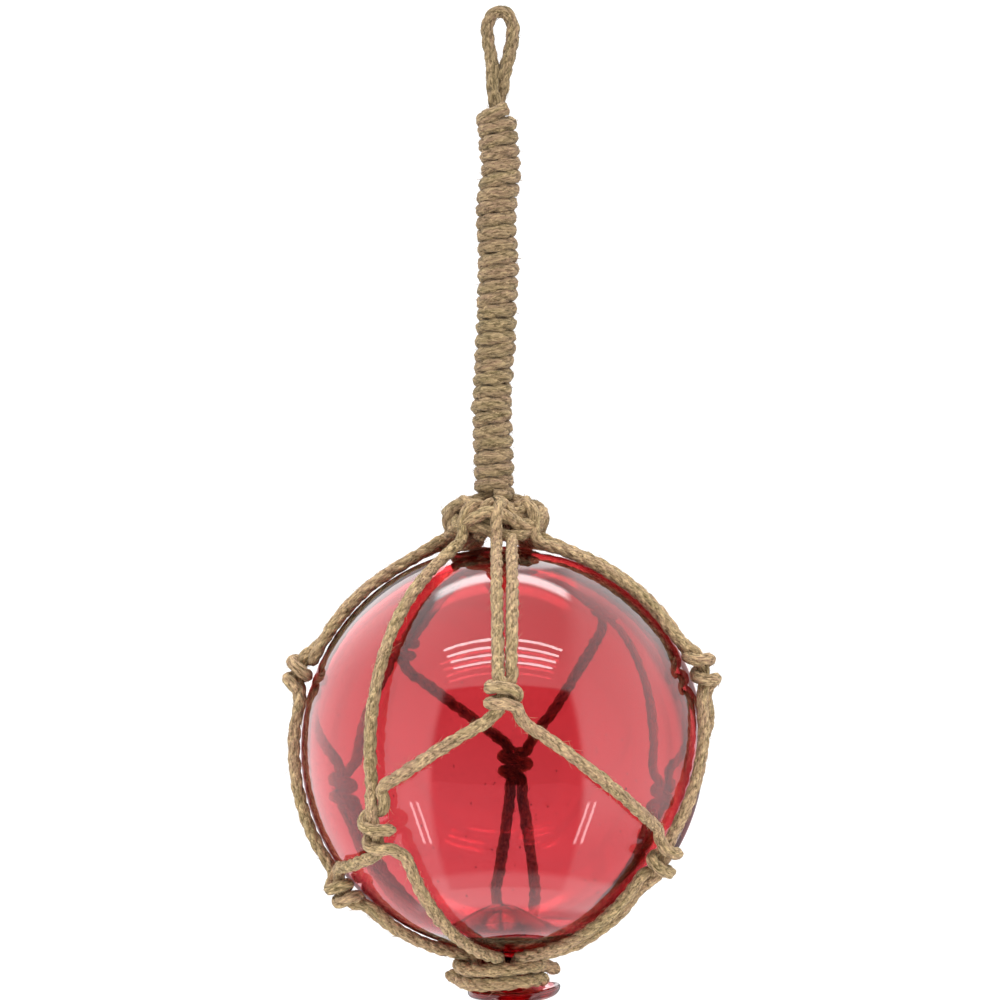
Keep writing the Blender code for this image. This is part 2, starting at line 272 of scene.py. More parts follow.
class Graph:
    """The nodes of one material or of the world."""

    def __init__(self, tree):
        self.tree = tree
        tree.nodes.clear()

    def node(self, kind, inputs=None, **settings):
        """Adds a node: its settings first, then the values or links of its sockets."""
        item = self.tree.nodes.new(kind)
        for name, setting in settings.items():
            setattr(item, name, setting)
        for name, given in (inputs or {}).items():
            given = getattr(given, "socket", given)
            if isinstance(given, bpy.types.NodeSocket):
                self.tree.links.new(given, item.inputs[name])
            else:
                item.inputs[name].default_value = given
        return item

    def value(self, kind, inputs=None, output=0, **settings):
        """One output of a new node, as a Value."""
        return Value(self, self.node(kind, inputs, **settings).outputs[output])

    def stretched(self, vector, scales):
        """A vector times a scale on each axis."""
        return self.value("ShaderNodeVectorMath", {0: vector, 1: scales}, operation="MULTIPLY")

    def noise(self, vector, scale, detail=2.0, roughness=0.5):
        """Soft random blotches, around a half."""
        inputs = {"Vector": vector, "Scale": scale, "Detail": detail, "Roughness": roughness}
        return self.value("ShaderNodeTexNoise", inputs)

    def mix(self, share, first, second):
        """Two colours, mixed."""
        inputs = {0: share, MIX_FIRST: first, MIX_SECOND: second}
        return self.value("ShaderNodeMix", inputs, MIX_RESULT, data_type="RGBA")


def new_material(name):
    """An empty node material and its graph."""
    material = bpy.data.materials.new(name)
    material.use_nodes = True
    return material, Graph(material.node_tree)


def jute_material(name, settings, painted_shade):
    """Laid jute: pale fibres along the cord, painted shade in the grooves, khaki and pinkish
    stretches.
    """
    material, graph = new_material(name)
    laid = graph.value("ShaderNodeAttribute", output="Vector", attribute_name="laid")
    depth = graph.value("ShaderNodeAttribute", output="Fac", attribute_name="depth")

    fibre = graph.noise(graph.stretched(laid, FIBRE_GRAIN), 1.0, 3.0, 0.66)
    yarn = graph.noise(graph.stretched(laid, YARN_GRAIN), 1.0)
    stretch = graph.noise(graph.stretched(laid, STRETCH_GRAIN), 1.0)
    speck = graph.noise(graph.stretched(laid, SPECK_GRAIN), 1.0, 2.0, 0.55)

    # Colours scaled by a level, by default the painted shade: 1 for the net, less for the hanger
    def shaded(colour, level=painted_shade):
        return (*(part * level for part in colour), 1.0)

    pale, dark = shaded(settings.pale_colour), shaded(settings.groove_shade_and_speck_colour)
    colour = graph.mix(
        stretch.rising(0.36, 0.62), shaded(settings.cord_colour), shaded(settings.pink_colour)
    )
    colour = graph.mix(yarn.rising(0.34, 0.72) * 0.75, colour, pale)
    # Fibre grain, with painted shade in the gaps between fibres and a painted highlight on the
    # fibres that catch the light
    colour = graph.mix((1.0 - fibre.rising(0.34, 0.50)) * 0.80, colour, dark)
    colour = graph.mix(fibre.rising(0.54, 0.68) * 0.70, colour, shaded(pale[:3], 1.40))
    # Painted shade in the grooves between the strands
    colour = graph.mix((1.0 - depth.rising(0.02, 0.55)) * 0.40, colour, dark)
    # Dark and pale specks
    colour = graph.mix(speck.rising(0.57, 0.66) * 0.70, colour, shaded(dark[:3], 0.75))
    colour = graph.mix((1.0 - speck.rising(0.34, 0.43)) * 0.65, colour, shaded(pale[:3], 1.50))

    height = fibre + speck * 0.8
    bump = graph.node("ShaderNodeBump", {"Strength": 1.0, "Distance": 0.0007, "Height": height})
    shader = graph.node("ShaderNodeBsdfPrincipled", {
        "Base Color": colour, "Roughness": 0.88, "Specular IOR Level": 0.18,
        "Sheen Weight": 0.10, "Sheen Roughness": 0.5, "Normal": bump.outputs[0],
    })
    graph.node("ShaderNodeOutputMaterial", {"Surface": shader.outputs[0]})
    return material


def glass_material(settings):
    """Blown glass stained red, clear right through and faintly uneven."""
    material, graph = new_material("red_glass")
    place = graph.value("ShaderNodeTexCoord", output="Object")
    swell = graph.noise(graph.stretched(place, (26.0, 26.0, 16.0)), 1.0, 1.0)
    cords = graph.noise(graph.stretched(place, (60.0, 60.0, 240.0)), 1.0, 2.0)
    height = swell + cords * 0.06
    bump = graph.node("ShaderNodeBump", {"Strength": 0.25, "Distance": 0.0008, "Height": height})
    shader = graph.node("ShaderNodeBsdfPrincipled", {
        "Base Color": (*settings.glass_colour, 1.0), "Roughness": 0.0, "IOR": 1.5,
        "Transmission Weight": 1.0, "Normal": bump.outputs[0],
    })
    depth = graph.node("ShaderNodeVolumeAbsorption", {
        "Color": (*settings.depth_colour, 1.0), "Density": settings.depth_strength,
    })
    ends = {"Surface": shader.outputs[0], "Volume": depth.outputs[0]}
    graph.node("ShaderNodeOutputMaterial", ends)
    return material


# The routes of the cords

def direction(azimuth, latitude):
    """The unit vector out of the float at an azimuth and latitude in degrees."""
    a, b = math.radians(azimuth), math.radians(latitude)
    return np.array((math.cos(b) * math.sin(a), -math.cos(b) * math.cos(a), math.sin(b)))


def ring_point(azimuth, radius, height):
    """A point on a level circle about the float's axis."""
    a = math.radians(azimuth)
    return np.array((radius * math.sin(a), -radius * math.cos(a), height))


def curve_between(p0, p1, p2, p3, s):
    """A point on the smooth curve from p1 to p2, with p0 and p3 as its neighbours."""
    d1, d2, d3 = (math.sqrt(np.linalg.norm(b - a)) for a, b in ((p0, p1), (p1, p2), (p2, p3)))
    start = d2 * ((p1 - p0) / d1 - (p2 - p0) / (d1 + d2) + (p2 - p1) / d2)
    end = d2 * ((p2 - p1) / d2 - (p3 - p1) / (d2 + d3) + (p3 - p2) / d3)
    return (
        p1 * (2 * s**3 - 3 * s**2 + 1)
        + start * (s**3 - 2 * s**2 + s)
        + p2 * (3 * s**2 - 2 * s**3)
        + end * (s**3 - s**2)
    )


def even_route(points, closed=False, steps=12):
    """A smooth curve through the points, as stations at even steps along it."""
    points = [np.array(p, dtype=float) for p in points]
    if closed:
        ends = [points[-1], *points, points[0], points[1]]
    else:
        ends = [2 * points[0] - points[1], *points, 2 * points[-1] - points[-2]]
    dense = [
        curve_between(*four, i / steps)
        for four in zip(ends, ends[1:], ends[2:], ends[3:])
        for i in range(steps)
    ]
    dense.append(points[0] if closed else points[-1])
    dense = np.array(dense)
    along = np.concatenate(((0.0,), np.cumsum(np.linalg.norm(np.diff(dense, axis=0), axis=1))))
    count = int(along[-1] / SECTION_STEP)
    at = np.linspace(0.0, along[-1], count + 1)
    route = np.stack([np.interp(at, along, dense[:, axis]) for axis in range(3)], axis=1)
    return route[:-1] if closed else route


def taut_run(start, end):
    """Stations of a cord pulled tight over the glass from start to end, without the ends."""
    first, last = start - BALL_CENTRE, end - BALL_CENTRE
    first_reach, last_reach = np.linalg.norm(first), np.linalg.norm(last)
    angle = math.acos(first @ last / (first_reach * last_reach))
    landing = math.acos(min(1.0, NET_RADIUS / first_reach))
    leaving = math.acos(min(1.0, NET_RADIUS / last_reach))
    if landing + leaving >= angle:
        return []
    count = max(2, math.ceil(angle * NET_RADIUS / RUN_STEP))
    stations = []
    for i in range(1, count):
        turned = angle * i / count
        lifted = max(0.0, landing - turned, leaving - angle + turned)
        across = (
            first / first_reach * math.sin(angle - turned) + last / last_reach * math.sin(turned)
        ) / math.sin(angle)
        stations.append(BALL_CENTRE + across * NET_RADIUS / math.cos(lifted))
    return stations


def knot_line(knot, line):
    """A line through a knot, laid on the glass at the knot's place."""
    azimuth, latitude, turn, stretch = knot
    out = direction(azimuth, latitude)
    east = ring_point(azimuth + 90, 1.0, 0.0)
    north = np.cross(out, east)
    angle = math.radians(turn)
    right = east * math.cos(angle) + north * math.sin(angle)
    up = north * math.cos(angle) - east * math.sin(angle)
    placed = []
    for across, along, lift in KNOT_LINES[line]:
        spot = out * NET_RADIUS + (right * across + up * along * stretch) * KNOT_LAY
        placed.append(BALL_CENTRE + spot / np.linalg.norm(spot) * (NET_RADIUS + lift * KNOT_LAY))
    return placed if abs(turn) < 90 else placed[::-1]


def crown_line(azimuth, line):
    """A line round the crown ring at an azimuth about the ring's own middle."""
    placed = []
    for along, outward, up in line:
        radius = RING_RADIUS + outward * LAY
        around = azimuth + math.degrees(along * LAY / radius)
        placed.append(ring_point(around, radius, RING_HEIGHT + up * LAY) + (CROWN_SHIFT, 0, 0))
    return placed


def neck_line(azimuth):
    """The end of a strand, from the bottom of the glass down along the neck."""
    def on_glass(radius):
        return ring_point(azimuth, radius, -BALL_DROP - math.sqrt(NET_RADIUS**2 - radius**2))

    bend = on_glass(NECK_NET_RADIUS + 0.40 * LAY)
    return [
        on_glass(NECK_NET_RADIUS + 1.10 * LAY),
        bend,
        ring_point(azimuth, NECK_NET_RADIUS + 0.06 * LAY, bend[2] - 0.32 * LAY),
        ring_point(azimuth, NECK_NET_RADIUS, bend[2] - 0.80 * LAY),
        ring_point(azimuth, NECK_NET_RADIUS, CORD_END_HEIGHT),
    ]


def joined(*stretches):
    """One route from several stretches, pulled tight over the glass between them."""
    route = list(stretches[0])
    for stretch in stretches[1:]:
        route += taut_run(route[-1], stretch[0]) + list(stretch)
    return route


def strand(upper, upper_line, lower, lower_line, end):
    """Stretches of one strand below the crown ring, from its upper knot to the neck."""
    stretches = [
        knot_line(UPPER_KNOTS[upper], upper_line),
        knot_line(LOWER_KNOTS[lower], lower_line),
        neck_line(end),
    ]
    if end in LEG_BOWS:
        stretches.insert(2, [BALL_CENTRE + direction(*LEG_BOWS[end]) * NET_RADIUS])
    return stretches


def folded_cord_route(name):
    """A cord folded over the crown ring: one strand's end at the neck to the other's."""
    place, west, east = FOLDED_CORDS[name]
    fold = crown_line(place, FOLD_LINE)
    down_west = joined(fold[:1], *strand(name, "core", *west))
    down_east = joined(fold[-1:], *strand(name, "wrap", *east))
    return down_west[:0:-1] + fold + down_east[1:]


def single_cord_route():
    """The cord that hangs single: its end is tucked round the crown ring."""
    hitch = crown_line(SINGLE_CORD_PLACE, FOLD_LINE[:-1])[::-1]
    return joined(
        hitch,
        knot_line(LOWER_KNOTS["front_left"], "core"),
        knot_line(LOWER_KNOTS["lower_left"], "core"),
        neck_line(SINGLE_CORD_END),
    )


def hanger_sway(height):
    """How far the hanger's middle stands to the right at a height."""
    drops, shifts = zip(*HANGER_SWAY)
    return float(np.interp(-height, drops, shifts))


def hanger_leg(side):
    """One leg of the hanger from the top of the eye to its hook on the crown ring."""
    middle = EYE_WIDTH / 2 + CORD_RADIUS
    route = [
        np.array((side * middle * wide, 0.0, CORD_RADIUS - (EYE_LENGTH + CORD_RADIUS) * down))
        for wide, down in EYE_SHAPE
    ]
    # Below the eye the two legs turn a quarter round each other
    half = 0.44 * LAY
    for share in np.linspace(0.0, 1.0, 4):
        turn = share * math.pi / 2
        height = -EYE_LENGTH - 0.02 * EYE_LENGTH - share * (WRAP_START - 1.02 * EYE_LENGTH)
        route.append(np.array((side * half * math.cos(turn), side * half * math.sin(turn), height)))
    foot = RING_HEIGHT + 2.10 * LAY
    for height in (*np.linspace(-WRAP_START - 0.01, foot + LAY, 14), foot):
        route.append(np.array((0.0, side * LAY / 2, height)))
    for spot in route:
        spot[0] += hanger_sway(spot[2])
    place = HOOK_PLACES[0] if side < 0 else HOOK_PLACES[1]
    return route + crown_line(place, HOOK_LINE)


def hanger_cord_route():
    """The hanger's cord: hook, leg, eye, leg and hook."""
    left, right = hanger_leg(-1), hanger_leg(1)
    top = np.array((hanger_sway(0.0), 0.0, CORD_RADIUS + 0.0006))
    return left[::-1] + [top] + right


def wrap_route(dice):
    """The cord wound round the hanger's two legs, with turns that lie a little unevenly."""
    steps = 16
    reach = 2 * CORD_RADIUS + CLEARANCE - 0.0004
    top, bottom = -WRAP_START - CORD_RADIUS + 0.0008, RING_HEIGHT + 1.75 * LAY
    count = int((top - bottom) / WRAP_PITCH * steps)
    turns = count // steps + 2
    marks = range(turns)
    lift = [dice.uniform(-WRAP_LIFT, WRAP_LIFT) for _ in marks]
    slack = [dice.uniform(*WRAP_SLACK) for _ in marks]
    tilt = [dice.uniform(-WRAP_TILT, WRAP_TILT) for _ in marks]
    stations = []
    for i in range(count + 1):
        wound = i / steps
        turn = 2 * math.pi * wound
        height = bottom + WRAP_PITCH * wound + float(np.interp(wound, marks, lift))
        height += float(np.interp(wound, marks, tilt)) * math.sin(turn)
        loose = reach + float(np.interp(wound, marks, slack))
        if wound > turns - TOP_TURNS:
            height += TOP_TILT * (wound - turns + TOP_TURNS) * math.sin(turn)
        across = -math.cos(turn)
        # The legs lie one behind the other, so each turn is an oblong
        side = LAY / 2 * math.tanh(3.0 * across)
        right = loose * math.sin(turn) + hanger_sway(height)
        stations.append(np.array((right, side + loose * across, height)))
    return stations


def lashing_route():
    """The cord lashed round the strand ends: a low turn, a step up and a high turn."""
    first, climb_start, climb_end, last = -95, 170, 255, 447
    wave = 0.14 * LAY
    # Both ends are tucked outward, where they make small knobs
    route = [ring_point(first - 10, LASHING_RADIUS + 0.95 * LAY, LASHING_BOTTOM + 0.25 * LAY)]
    for azimuth in np.arange(first + 4, last, 17):
        share = min(1.0, max(0.0, (azimuth - climb_start) / (climb_end - climb_start)))
        height = LASHING_BOTTOM + (0.10 + 1.05 * share * share * (3 - 2 * share)) * LAY
        height += wave * math.sin(math.radians(2 * azimuth))
        loose = wave * math.sin(math.radians(3 * azimuth))
        route.append(ring_point(azimuth, LASHING_RADIUS + loose, height))
    route.append(ring_point(last + 9, LASHING_RADIUS + 0.9 * LAY, LASHING_TOP - 0.2 * LAY))
    return route


# Cord making

def mesh_of(curve):
    """A curve turned into a mesh."""
    holder = bpy.data.objects.new(curve.name, curve)
    bpy.context.collection.objects.link(holder)
    bpy.context.view_layer.update()
    graph = bpy.context.evaluated_depsgraph_get()
    mesh = bpy.data.meshes.new_from_object(holder.evaluated_get(graph))
    bpy.data.objects.remove(holder)
    return mesh


def section_reach(angle):
    """How far a section of three strands reaches at an angle, as a share of its radius."""
    wide = math.pi / STRANDS
    off = (angle + wide) % (2 * wide) - wide
    strand_share = 1.0 - STRAND_OFFSET
    aside = STRAND_OFFSET * math.sin(off)
    return STRAND_OFFSET * math.cos(off) + math.sqrt(strand_share**2 - aside**2)


def section_curve(radius):
    """The section of a three-strand cord, as a closed flat curve."""
    data = bpy.data.curves.new("section", "CURVE")
    data.dimensions = "2D"
    spline = data.splines.new("POLY")
    spline.points.add(SECTION_POINTS - 1)
    spline.use_cyclic_u = True
    for index, point in enumerate(spline.points):
        angle = 2 * math.pi * index / SECTION_POINTS
        reach = radius * section_reach(angle)
        point.co = (reach * math.cos(angle), reach * math.sin(angle), 0.0, 1.0)
    return data


def set_attribute(mesh, name, kind, values):
    """Stores a value for each vertex."""
    field = "vector" if kind == "FLOAT_VECTOR" else "value"
    layer = mesh.attributes.new(name, kind, "POINT")
    layer.data.foreach_set(field, np.ascontiguousarray(values, dtype=np.float32).ravel())


def cord_frames(route, closed):
    """Two directions across the cord at each station, carried along without twisting."""
    if closed:
        ahead = np.roll(route, -1, axis=0) - np.roll(route, 1, axis=0)
    else:
        ahead = np.gradient(route, axis=0)
    ahead /= np.linalg.norm(ahead, axis=1)[:, None]
    side = np.cross(ahead[0], (0.3, 0.4, 0.87))
    sides = []
    for heading in (*ahead, ahead[0]):
        side = side - heading * (side @ heading)
        side = side / np.linalg.norm(side)
        sides.append(side)
    first_top = np.cross(ahead[0], sides[0])
    gap = math.atan2(sides[-1] @ first_top, sides[-1] @ sides[0]) if closed else 0.0
    sides = np.array(sides[:-1])
    return sides, np.cross(ahead, sides), gap


def laid_cord(name, route, radius, lay_length, dice, closed=False):
    """A three-strand cord along a route, twisted like a right-hand screw."""
    count = len(route)
    data = bpy.data.curves.new(name, "CURVE")
    data.dimensions = "3D"
    section = bpy.data.objects.new("section", section_curve(radius))
    bpy.context.collection.objects.link(section)
    data.bevel_mode = "OBJECT"
    data.bevel_object = section
    spline = data.splines.new("POLY")
    spline.points.add(count - 1)
    spline.use_cyclic_u = closed
    start = dice.uniform(0, 100)
    along = SECTION_STEP * np.arange(count)
    length = along[-1] + (SECTION_STEP if closed else 0.0)
    for point, station in zip(spline.points, route):
        point.co = (*station, 1.0)
    mesh = mesh_of(data)
    bpy.data.objects.remove(section)

    # The sections are then turned steadily, which lays the strands
    sides, tops, gap = cord_frames(route, closed)
    thirds = length / lay_length * STRANDS
    if closed:
        thirds = round(thirds)
    twist = (2 * math.pi * thirds / STRANDS - gap) * along / length + (0.0 if closed else start)
    if not closed:
        twist += TWIST_NOISE * np.array([noise.noise(Vector((start, 60 * s, 0))) for s in along])
    angles = 2 * math.pi * np.arange(SECTION_POINTS) / SECTION_POINTS
    shares = np.array([section_reach(a) for a in angles])
    low = shares.min()
    spun = twist[:, None] - angles[None, :]
    across, up = shares * radius * np.cos(spun), shares * radius * np.sin(spun)
    laid = np.stack((np.broadcast_to(along[:, None] + start, spun.shape), across, up), axis=2)
    lumps = [
        noise.noise(Vector((260 * a, 700 * b, 700 * c)))
        + 0.5 * noise.noise(Vector((900 * a, 2000 * b, 2000 * c)))
        for a, b, c in laid.reshape(-1, 3)
    ]
    girth = np.array([noise.noise(Vector((start, 110 * s, 3.0))) for s in along])
    girth = 1.0 + GIRTH_NOISE * girth
    swell = (1.0 + SURFACE_NOISE * np.array(lumps).reshape(spun.shape)) * girth[:, None]
    places = (
        np.asarray(route)[:, None, :]
        + (across * swell)[:, :, None] * sides[:, None, :]
        + (up * swell)[:, :, None] * tops[:, None, :]
    )
    mesh.vertices.foreach_set("co", places.ravel())
    # How far out each point of the section reaches, 0 in the grooves; the jute material paints
    # shade in the grooves from it
    depth = np.broadcast_to((shares - low) / (1 - low), spun.shape)
    return mesh, places, laid.reshape(-1, 3), depth.ravel()


def loose_fibres(route, places, dice, spacing):
    """Lines of the short fibres that stand off a cord."""
    hairs = []
    count = len(route)
    for _ in range(int(count * SECTION_STEP / spacing)):
        i = dice.randrange(2, count - 2)
        root = places[i, dice.randrange(SECTION_POINTS)]
        out = root - route[i]
        out /= np.linalg.norm(out)
        ahead = (route[i + 1] - route[i - 1]) * dice.choice((-1, 1))
        ahead /= np.linalg.norm(ahead)
        aside = np.cross(out, ahead)
        length = dice.uniform(*FIBRE_LENGTH)
        rise = dice.uniform(*FIBRE_RISE)
        sway = dice.uniform(*FIBRE_SWAY)
        curl = dice.uniform(*FIBRE_CURL)
        hair = []
        for share in (0.0, 0.35, 0.7, 1.0):
            run = ahead * share + aside * sway * share * share
            lift = out * (rise * share + curl * share**3)
            hair.append(root + (run + lift) * length - out * FIBRE_ROOT_DEPTH)
        # Hairs that would run into the glass are left out
        if min(np.linalg.norm(spot - BALL_CENTRE) for spot in hair) > BALL_RADIUS + 0.0002:
            hairs.append(hair)
    return hairs


def fibre_mesh(hairs):
    """A bundle of fibres, each a thin tapering hair."""
    data = bpy.data.curves.new("fibres", "CURVE")
    data.dimensions = "3D"
    data.bevel_depth = FIBRE_RADIUS
    data.bevel_resolution = 0
    data.use_fill_caps = True
    for hair in hairs:
        spline = data.splines.new("POLY")
        spline.points.add(len(hair) - 1)
        for point, spot, thick in zip(spline.points, hair, FIBRE_TAPER):
            point.co = (*spot, 1.0)
            point.radius = thick
    mesh = mesh_of(data)
    spots = np.zeros(3 * len(mesh.vertices))
    mesh.vertices.foreach_get("co", spots)
    return mesh, spots.reshape(-1, 3)


def finish_piece(name, mesh, material, node):
    """Stores a bmesh as a finished piece that stands for its solid."""
    data = bpy.data.meshes.new(name)
    mesh.to_mesh(data)
    mesh.free()
    data.shade_smooth()
    data.materials.append(material)
    piece = bpy.data.objects.new(name, data)
    bpy.context.collection.objects.link(piece)
    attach(piece, "root")
    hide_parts(node)
    return piece


def make_cord(name, node, routes, settings, slot, radius=None, closed=False):
    """A piece of laid cord with its loose fibres, from one or more routes."""
    dice = random.Random(name)
    whole = bmesh.new()
    laid_parts, depth_parts = [], []
    for points in routes:
        route = even_route(points, closed)
        cord, places, laid, depth = laid_cord(
            name, route, radius or settings.cord_diameter / 2, settings.lay_length, dice, closed
        )
        body = bmesh.new()
        body.from_mesh(cord)
        rims = [edge for edge in body.edges if edge.is_boundary]
        if rims:
            bmesh.ops.holes_fill(body, edges=rims, sides=0)
        bmesh.ops.recalc_face_normals(body, faces=body.faces)
        add_mesh(whole, body)
        laid_parts.append(laid)
        depth_parts.append(depth)
        hairs = loose_fibres(route, places, dice, settings.fibre_spacing)
        for first in range(0, len(hairs), FIBRE_BUNDLE):
            bundle, spots = fibre_mesh(hairs[first:first + FIBRE_BUNDLE])
            whole.from_mesh(bundle)
            laid_parts.append(spots)
            depth_parts.append(np.ones(len(spots)))
    piece = finish_piece(name, whole, bpy.data.materials["laid_" + slot], node)
    set_attribute(piece.data, "laid", "FLOAT_VECTOR", np.concatenate(laid_parts))
    set_attribute(piece.data, "depth", "FLOAT", np.concatenate(depth_parts))
    return piece


# Glass making

def float_profile(steps):
    """The float's outline as radius and height, from its crown down to the seal's middle."""
    neck = NECK_DIAMETER / 2
    button = BUTTON_DIAMETER / 2
    last = math.pi - math.asin((neck + 0.1 * neck) / BALL_RADIUS)
    outline = []
    for i in range(steps + 1):
        turn = last * i / steps
        outline.append((BALL_RADIUS * math.sin(turn), BALL_RADIUS * math.cos(turn) - BALL_DROP))
    outline.append((neck, outline[-1][1] - 0.1 * neck))
    # The small fillet where the neck meets the button
    outline += [
        (neck, BUTTON_TOP + 0.0008), (neck + 0.0003, BUTTON_TOP + 0.0002),
        (neck + 0.0010, BUTTON_TOP), (LASHING_REACH - BUTTON_SHIFT, BUTTON_TOP),
    ]
    rim = BUTTON_THICKNESS / 2
    rim_steps = 8
    for i in range(rim_steps + 1):
        turn = math.pi * i / rim_steps
        out, lift = rim * math.sin(turn), rim * math.cos(turn)
        outline.append((button - rim + out, BUTTON_TOP - rim + lift))
    # The button's underside bellies down a little, in shares of its radius and thickness
    for out, down in ((0.75, 1.05), (0.5, 1.1), (0.25, 1.15), (0.0, 1.16)):
        outline.append((out * button, BUTTON_TOP - down * BUTTON_THICKNESS))
    return outline


def slump_button(mesh):
    """Sets the seal button to one side and curls its far lip up, as the soft glass sagged."""
    touch = CLEARANCE / 4
    for vertex in mesh.verts:
        # The ball, the neck and the fillet at the neck stay as they are
        near = vertex.co.xy.length < NECK_DIAMETER / 2 + 0.0012
        if vertex.co.z > BUTTON_TOP + (-touch if near else touch):
            continue
        vertex.co.x += BUTTON_SHIFT
        beyond = vertex.co.xy.length - LASHING_REACH
        if beyond > touch:
            vertex.co.z += BUTTON_LIP_RISE * min(1.0, beyond / BUTTON_SHIFT)


def turned(profile, segments):
    """A closed body turned about the float's axis."""
    mesh = bmesh.new()
    outline = [mesh.verts.new((radius, 0.0, height)) for radius, height in profile]
    edges = [mesh.edges.new(pair) for pair in zip(outline, outline[1:])]
    bmesh.ops.spin(
        mesh, geom=outline + edges, cent=(0, 0, 0), axis=(0, 0, 1), angle=2 * math.pi,
        steps=segments, use_merge=True,
    )
    bmesh.ops.remove_doubles(mesh, verts=mesh.verts, dist=1e-6)
    bmesh.ops.recalc_face_normals(mesh, faces=mesh.faces)
    return mesh


def add_mesh(whole, part):
    """Adds one bmesh to another and frees it."""
    data = bpy.data.meshes.new("part")
    part.to_mesh(data)
    part.free()
    whole.from_mesh(data)


def float_hollow(settings, steps, segments):
    """The inside of the glass, faintly uneven, with the heap of glass over the seal."""
    wide = BALL_RADIUS - settings.wall
    tall = wide - HOLLOW_FLATTENING
    outline = [
        (wide * math.sin(math.pi * i / steps), tall * math.cos(math.pi * i / steps))
        for i in range(steps + 1)
    ]
    hollow = turned(outline, segments)
    for vertex in hollow.verts:
        spot = vertex.co.copy()
        wave = noise.noise(spot * 22.0) * 0.00022 + noise.noise(spot * 60.0) * 0.00004
        vertex.co = spot + spot.normalized() * wave
        if spot.z < 0:
            near = max(0.0, 1.0 - spot.xy.length / settings.seal_reach)
            vertex.co.z += settings.seal_rise * near * near * (3 - 2 * near)
        vertex.co += Vector((HOLLOW_SHIFT, 0.0, -BALL_DROP - settings.wall_drop))
    bmesh.ops.reverse_faces(hollow, faces=hollow.faces)
    return hollow


def add_seeds(whole, count):
    """Adds the seeds, which are small bubbles in the wall of the glass."""
    dice = random.Random("seeds")
    bead = bmesh.new()
    bmesh.ops.create_uvsphere(bead, u_segments=8, v_segments=5, radius=1.0)
    bmesh.ops.reverse_faces(bead, faces=bead.faces)
    round_seed = bpy.data.meshes.new("seed")
    bead.to_mesh(round_seed)
    bead.free()
    lowest, highest = SEED_LIMITS
    for _ in range(count):
        height = max(lowest, min(highest, dice.gauss(SEED_HEIGHT, SEED_HEIGHT_SPREAD)))
        azimuth = dice.uniform(-180, 180)
        size = SEED_SIZE + SEED_SIZE_SPREAD * dice.random() ** 2.0
        latitude = math.degrees(math.asin(height))
        spot = BALL_CENTRE + direction(azimuth, latitude) * (BALL_RADIUS - SEED_DEPTH)
        shape = Matrix.Diagonal((size, size, size * dice.uniform(1.0, 1.7), 1.0))
        seed = round_seed.copy()
        seed.transform(Matrix.Translation(spot) @ shape)
        whole.from_mesh(seed)
        bpy.data.meshes.remove(seed)


def make_glass(settings):
    """The hollow blown ball with its seal, and the seeds caught in its wall."""
    whole = turned(float_profile(110), 176)
    slump_button(whole)
    add_mesh(whole, float_hollow(settings, 100, 160))
    add_seeds(whole, settings.seed_count)
    return finish_piece("float_glass", whole, glass_material(settings), "glass_ball")


# Stage

